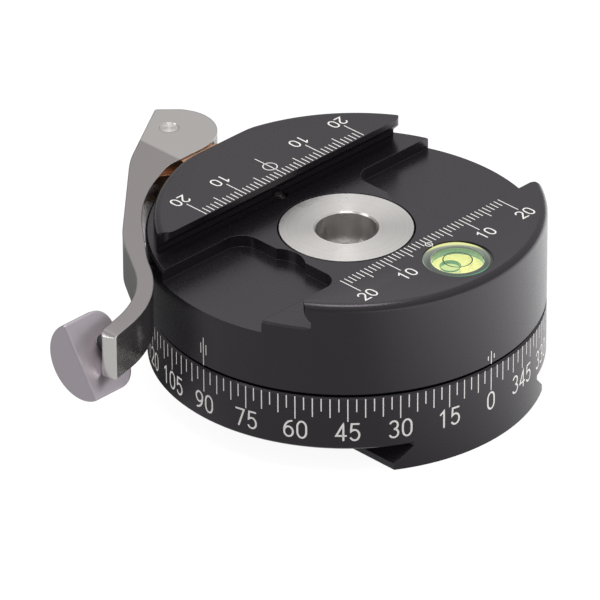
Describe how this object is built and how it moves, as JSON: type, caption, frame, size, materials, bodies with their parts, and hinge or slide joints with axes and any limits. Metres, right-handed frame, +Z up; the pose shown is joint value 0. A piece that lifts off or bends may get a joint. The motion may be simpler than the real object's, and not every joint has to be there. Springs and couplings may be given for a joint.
{
  "type": "panoramic tripod head",
  "caption": "Round panoramic clamp head with a dovetail foot, degree ring, lever-operated jaw, bubble level, steel hub and a side knob that locks the turning",
  "frame": {"origin": "On the turning axis at the foot's bottom face, at the mouth of the tripod thread", "axes": "+Z is up along the turning axis; -Y points to the fixed jaw and the bubble level; +Y points to the moving jaw and the lever's pivot; the plate channel runs along X and the thumb pad is at -X"},
  "size_m": [0.1018, 0.0879, 0.0342],
  "materials": {
    "anodised_black": "satin",
    "satin_aluminium": "satin",
    "titanium_grey_aluminium": "satin",
    "blasted_aluminium": "matt",
    "stainless_steel": "brushed",
    "plain_steel": "brushed",
    "black_steel": "satin",
    "bearing_bronze": "satin",
    "bearing_polymer": "matt",
    "pale_plastic": "matt",
    "clear_acrylic": "clear",
    "level_fluid": "clear"
  },
  "bodies": {
    "base": {"base_housing": "anodised_black", "spindle_hub": "stainless_steel", "hub_lock_nut": "stainless_steel", "hub_dowels": "plain_steel", "lower_thrust_washer": "bearing_polymer", "upper_thrust_washer": "bearing_polymer", "pan_lock_sleeve": "bearing_bronze"},
    "clamp": {"clamp_body": "anodised_black", "radial_bushing": "bearing_bronze", "brake_ring": "plain_steel", "brake_ring_screws": "black_steel", "level_vial": "clear_acrylic", "level_base": "pale_plastic", "level_fluid": "level_fluid", "draw_bar": "stainless_steel", "draw_bar_set_screw": "plain_steel", "guide_pins": "plain_steel", "jaw_springs": "plain_steel"},
    "jaw": {"moving_jaw": "anodised_black", "thrust_pad": "bearing_bronze", "thrust_pad_screws": "plain_steel"},
    "lever": {"lever": "titanium_grey_aluminium", "pivot_pin": "stainless_steel", "thumb_pad": "blasted_aluminium", "thumb_pad_screw": "black_steel"},
    "lock_knob": {"pan_lock_knob": "anodised_black", "pan_lock_knob_cap": "satin_aluminium", "pan_lock_screw": "plain_steel", "pan_lock_clip": "plain_steel"},
    "lock_shoe": {"brake_shoe": "bearing_bronze"}
  },
  "joints": [
    {"name": "pan_rotation", "type": "hinge", "parent": "base", "child": "clamp", "pos_m": [0, 0, 0.02], "axis": [0, 0, 1], "continuous": true},
    {"name": "lever_swing", "type": "hinge", "parent": "clamp", "child": "lever", "pos_m": [0, 0.0454, 0.0276], "axis": [0, 0, -1], "range_deg": [0, 135]},
    {"name": "jaw_slide", "type": "slide", "parent": "clamp", "child": "jaw", "axis": [0, 1, 0], "range_m": [0, 0.003], "deforming": ["jaw_springs"]},
    {"name": "lock_knob_turn", "type": "hinge", "parent": "base", "child": "lock_knob", "pos_m": [0.03062, 0.03062, 0.0101], "axis": [0.7071, 0.7071, 0], "range_deg": [0, 270]},
    {"name": "shoe_slide", "type": "slide", "parent": "base", "child": "lock_shoe", "axis": [-0.7071, -0.7071, 0], "range_m": [0, 0.0006001]}
  ],
  "couplings": [
    {"joint": "jaw_slide", "follows": "lever_swing", "m_per_rad": 0.0012732},
    {"joint": "shoe_slide", "follows": "lock_knob_turn", "m_per_rad": 0.00012732}
  ]
}
